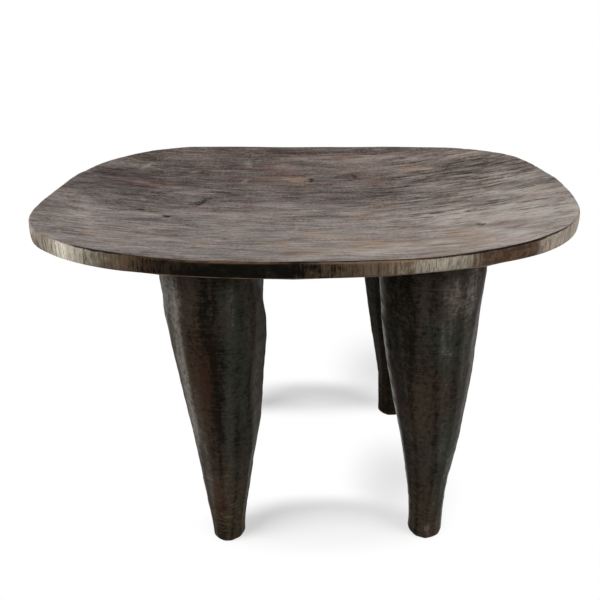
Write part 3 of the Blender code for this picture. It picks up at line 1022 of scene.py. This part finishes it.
def leg_skin(name, leg):
    """One leg: sole, rounded foot, hewn shaft and a shoulder fitted to the seat's underside."""
    foot_x, foot_y, _ = SOLES[name + "_sole"]
    head_x, head_y = leg["head"]
    share = np.linspace(0, 1, LEG_RINGS + 1)
    angle = np.arange(LEG_SEGMENTS) * 2 * pi / LEG_SEGMENTS
    share, angle = np.meshgrid(share, angle, indexing="ij")
    swell = (1 - np.cos(pi * share ** leg["taper"])) / 2
    radius = FOOT_RADIUS + (leg["head_radius"] - FOOT_RADIUS) * swell
    hewn, rubbed = hewn_flats(leg, share, angle)
    reach = radius * hewn + leg_relief(name, leg, share, angle)
    bow = leg["bow"] * 4 * share * (1 - share)
    x = foot_x + head_x * share + bow + reach * np.cos(angle) + leg_stray(name, share, angle)
    y = foot_y + head_y * share + reach * np.sin(angle)
    shoulder = underside_height(x[-1], y[-1]) - JOINT_GAP
    z = FOOT_ROUND + (shoulder - FOOT_ROUND) * share
    shaft = list(np.stack([x, y, z], -1))

    head = np.array([foot_x + head_x, foot_y + head_y])
    top = shaft[-1].copy()
    top[:, :2] = head + (top[:, :2] - head) / 2
    top[:, 2] = underside_height(top[:, 0], top[:, 1]) - JOINT_GAP
    rings = [*foot_rings(shaft[0], foot_x, foot_y), *shaft, top]
    sole_middle = [[foot_x, foot_y, 0]]
    crown_middle = [[*head, underside_height(*head) - JOINT_GAP]]
    points = np.concatenate([*rings, sole_middle, crown_middle])
    numbers = np.arange(len(rings) * LEG_SEGMENTS).reshape(-1, LEG_SEGMENTS)
    sole = numbers.size
    crown = sole + 1
    faces = []
    for lower, upper in zip(numbers, numbers[1:]):
        faces += band_faces(upper, lower).tolist()
    faces += [[a, sole, b] for a, b in zip(numbers[0], np.roll(numbers[0], -1))]
    faces += [[b, crown, a] for a, b in zip(numbers[-1], np.roll(numbers[-1], -1))]

    marks = {}
    for mark, values in leg_tone_and_light(name, rubbed, angle, z).items():
        marks[mark] = np.concatenate([*[values[0]] * FOOT_STEPS, values.ravel(), values[-1], [0, 0]])
    marks["bare"] = leg["bare_foot"] * np.clip(1 - np.abs(points[:, 2] - BARE_HEIGHT) / BARE_REACH, 0, 1)
    return skin("stool_leg_" + name, points, faces, marks)


WARM_BLACK = (0.0060, 0.0042, 0.0028, 1)
WARM_BROWN = (0.0310, 0.0222, 0.0152, 1)
WARM_PALE = (0.1700, 0.1490, 0.1260, 1)
# The cold colours are partly a painted grey-green sheen.
COLD_BLACK = (0.0048, 0.0047, 0.0036, 1)
COLD_BROWN = (0.0238, 0.0240, 0.0186, 1)
COLD_PALE = (0.1580, 0.1530, 0.1350, 1)
LEG_RED = (0.030, 0.0135, 0.0080, 1)
LEG_BARE = (0.084, 0.060, 0.022, 1)


def leg_finish():
    """Blackened wood: flats paler from rubbing and painted light, warm and cold by turns, cross lines, bare
    foot.
    """
    material, shader, here = new_finish("leg_wood")
    wood = here.wander((9, 9, 9), (0.008, 0.008, 0.008))
    lines = wood.grain((45, 45, 640), 3.0, 0.6)
    streaks = here.grain((170, 170, 16), 3.0, 0.6)
    mottle = here.grain((260, 260, 200), 3.0, 0.6)
    speck = here.grain((520, 520, 520), 2.0, 0.6)
    clouds = here.wander((20, 20, 20), (0.012, 0.012, 0.02)).grain((26, 26, 9), 4.0, 0.6)
    reds = here.grain((30, 30, 14), 4.0, 0.6)
    # The rubbed mark carries painted light and shade as well as rubbed wood.
    rubbed = here.mark("rubbed") + (clouds - 0.5) * 0.4
    tone = rubbed + (streaks - 0.5) * 0.6 + (mottle - 0.5) * 0.8 + (speck - 0.5) * 0.5 + (lines - 0.5) * 0.8
    # Black through brown to pale, once in warm colours and once in cold ones, with red places in both.
    # The cold colours stand in partly for a painted grey-green sheen.
    warm = tone.between(0.5, 1.5).paint(tone.between(0.0, 0.5).paint(WARM_BLACK, WARM_BROWN), WARM_PALE)
    cold = tone.between(0.5, 1.5).paint(tone.between(0.0, 0.5).paint(COLD_BLACK, COLD_BROWN), COLD_PALE)
    colour = (here.mark("cold") + (reds - 0.5) * 1.5).between(0.0, 1.0).paint(warm, cold)
    colour = (reds.between(0.52, 0.70) * 0.35).paint(colour, LEG_RED)
    colour = ((here.mark("cold") * -1 + (mottle - 0.5)).between(0.1, 0.9) * 0.6).paint(colour, LEG_RED)
    # Bare wood at the foot, and dark cuts across the leg.
    patchy = here.grain((110, 110, 260), 4.0, 0.7).between(0.50, 0.66)
    colour = (here.mark("bare") * patchy).paint(colour, LEG_BARE)
    cuts = lines.between(0.60, 0.72) * clouds.between(0.36, 0.56) * 0.5
    colour = cuts.paint(colour, COLD_BLACK)
    feed(shader, "Base Color", colour)
    # Roughness, wax and relief.
    feed(shader, "Roughness", 0.34 + 0.20 * mottle + 0.12 * cuts)
    waxed = (rubbed - 0.2).between(0.0, 1.0) * mottle.between(0.30, 0.65) * (1 - cuts) * 0.35
    feed(shader, "Coat Weight", waxed)
    shader.inputs["Specular IOR Level"].default_value = 0.012
    shader.inputs["Coat Roughness"].default_value = 0.30
    height = lines * 0.25 + speck * 0.3 + streaks * 0.2 - cuts * 0.4 + mottle * 0.3
    bump = {"Strength": 0.5, "Distance": 0.0009, "Height": height}
    feed(shader, "Normal", here.node("ShaderNodeBump", {}, bump))
    return material


leg_wood = leg_finish()
for leg_name, leg_sizes in LEGS.items():
    leg = leg_skin(leg_name, leg_sizes)
    leg.data.materials.append(leg_wood)
    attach(leg, "root")
    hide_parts("leg_" + leg_name)

# Studio
# A pale seamless floor in a white room that dims towards its ceiling, with a broad soft light on either hand.
# To the eye, and in a gloss, the floor is white, with a soft shadow only between and behind the feet.
FLOOR_REACH = 14.0
FLOOR_PAPER = (0.75, 0.75, 0.74, 1)
FLOOR_SHADED = (0.80, 0.80, 0.80, 1)
FLOOR_GLOW = 0.26
# The places between and behind the feet where the shadow is seen: place along and across, half length,
# half width, and the share of each that is seen in full.
SHADOW_PLACES = (
    (0.015, -0.108, 0.160, 0.056, 0.45),
    (0.000, 0.156, 0.180, 0.060, 0.3),
    (0.116, -0.030, 0.082, 0.110, 0.0),
    (0.118, 0.245, 0.094, 0.150, 0.0),
)
WALL_LEVEL = 1.0
CEILING_LEVEL = 0.30
WALL_TOP = 0.15
CEILING_FROM = 0.55
LIGHT_BREADTH = 40
# Each light: where it stands round the stool and how high, both in degrees, and its strength.
LIGHTS = {
    "left_light": (212, 36, 2.0),
    "right_light": (325, 32, 1.1),
}

floor_mesh = bpy.data.meshes.new("studio_floor")
floor_corners = [
    (-FLOOR_REACH, -FLOOR_REACH, 0), (FLOOR_REACH, -FLOOR_REACH, 0),
    (FLOOR_REACH, FLOOR_REACH, 0), (-FLOOR_REACH, FLOOR_REACH, 0),
]
floor_mesh.from_pydata(floor_corners, [], [(0, 1, 2, 3)])
floor = bpy.data.objects.new("studio_floor", floor_mesh)
bpy.context.scene.collection.objects.link(floor)
floor_paper = bpy.data.materials.new("floor_paper")
floor_paper.use_nodes = True
paper_tree = floor_paper.node_tree
paper_tree.nodes.remove(paper_tree.nodes["Principled BSDF"])
path = paper_tree.nodes.new("ShaderNodeLightPath")
by_eye = Shade(paper_tree, path.outputs["Is Camera Ray"])
in_gloss = Shade(paper_tree, path.outputs["Is Glossy Ray"])
through = Shade(paper_tree, path.outputs["Is Transmission Ray"])
seen = by_eye.math("MAXIMUM", by_eye, by_eye.math("MAXIMUM", in_gloss, through))
plain = seen.node("ShaderNodeBsdfDiffuse", {}, {"Color": FLOOR_PAPER})
shaded = seen.node("ShaderNodeBsdfDiffuse", {}, {"Color": FLOOR_SHADED})
glow = seen.node("ShaderNodeEmission", {}, {"Color": (1, 1, 1, 1), "Strength": FLOOR_GLOW})
shaded = seen.node("ShaderNodeAddShader", {}, {0: shaded, 1: glow})
white = seen.node("ShaderNodeEmission", {}, {"Color": (1, 1, 1, 1), "Strength": 1.0})
on_floor = Shade(paper_tree, paper_tree.nodes.new("ShaderNodeTexCoord").outputs["Object"])
away = 1.0
for along, across, half_length, half_width, core in SHADOW_PLACES:
    middle = (along, across, 0)
    scale = (1 / half_length, 1 / half_width, 0)
    aside = on_floor.node("ShaderNodeVectorMath", {"operation": "SUBTRACT"}, {0: on_floor, 1: middle})
    aside = aside.node("ShaderNodeVectorMath", {"operation": "MULTIPLY"}, {0: aside, 1: scale})
    distance = aside.node("ShaderNodeVectorMath", {"operation": "LENGTH"}, {0: aside}, 1)
    away = distance.between(core, 1.0) * away
white = seen.node("ShaderNodeMixShader", {}, {0: away, 1: shaded, 2: white})
paper = seen.node("ShaderNodeMixShader", {}, {0: seen, 1: plain, 2: white})
paper_tree.links.new(paper.socket, paper_tree.nodes["Material Output"].inputs["Surface"])
floor_mesh.materials.append(floor_paper)

world = bpy.data.worlds.new("white_room")
bpy.context.scene.world = world
world.use_nodes = True
room_tree = world.node_tree
room = room_tree.nodes["Background"]
room.inputs["Color"].default_value = (1, 1, 1, 1)
looking = Shade(room_tree, room_tree.nodes.new("ShaderNodeTexCoord").outputs["Generated"])
upward = looking.node("ShaderNodeSeparateXYZ", {}, {0: looking}, 2)
feed(room, "Strength", WALL_LEVEL - (WALL_LEVEL - CEILING_LEVEL) * upward.between(WALL_TOP, CEILING_FROM))

for light_name, (light_from, light_height, light_strength) in LIGHTS.items():
    lamp = bpy.data.lights.new(light_name, "SUN")
    lamp.energy = light_strength
    lamp.angle = radians(LIGHT_BREADTH)
    light = bpy.data.objects.new(light_name, lamp)
    bpy.context.scene.collection.objects.link(light)
    light.rotation_euler = (0, radians(90 - light_height), radians(light_from))

# Camera
# Set where the photograph was taken from: a little above the seat, close in front of it.
CAMERA_PLACE = (-0.0127, -0.7380, 0.6091)
CAMERA_DOWN = 26.39
CAMERA_RIGHT = 0.13
CAMERA_ROLL = -0.29
PICTURE_PIXELS = 600
FOCAL_PIXELS = 703.5
camera_data = bpy.data.cameras.new("camera")
camera_data.sensor_width = 36
camera_data.lens = camera_data.sensor_width * FOCAL_PIXELS / PICTURE_PIXELS
camera = bpy.data.objects.new("camera", camera_data)
bpy.context.scene.collection.objects.link(camera)
camera.matrix_world = (
    Matrix.Translation(CAMERA_PLACE)
    @ Matrix.Rotation(radians(-CAMERA_RIGHT), 4, "Z")
    @ Matrix.Rotation(radians(90 - CAMERA_DOWN), 4, "X")
    @ Matrix.Rotation(radians(CAMERA_ROLL), 4, "Z")
)
bpy.context.scene.camera = camera
bpy.context.scene.view_settings.view_transform = "Standard"

bpy.context.view_layer.update()
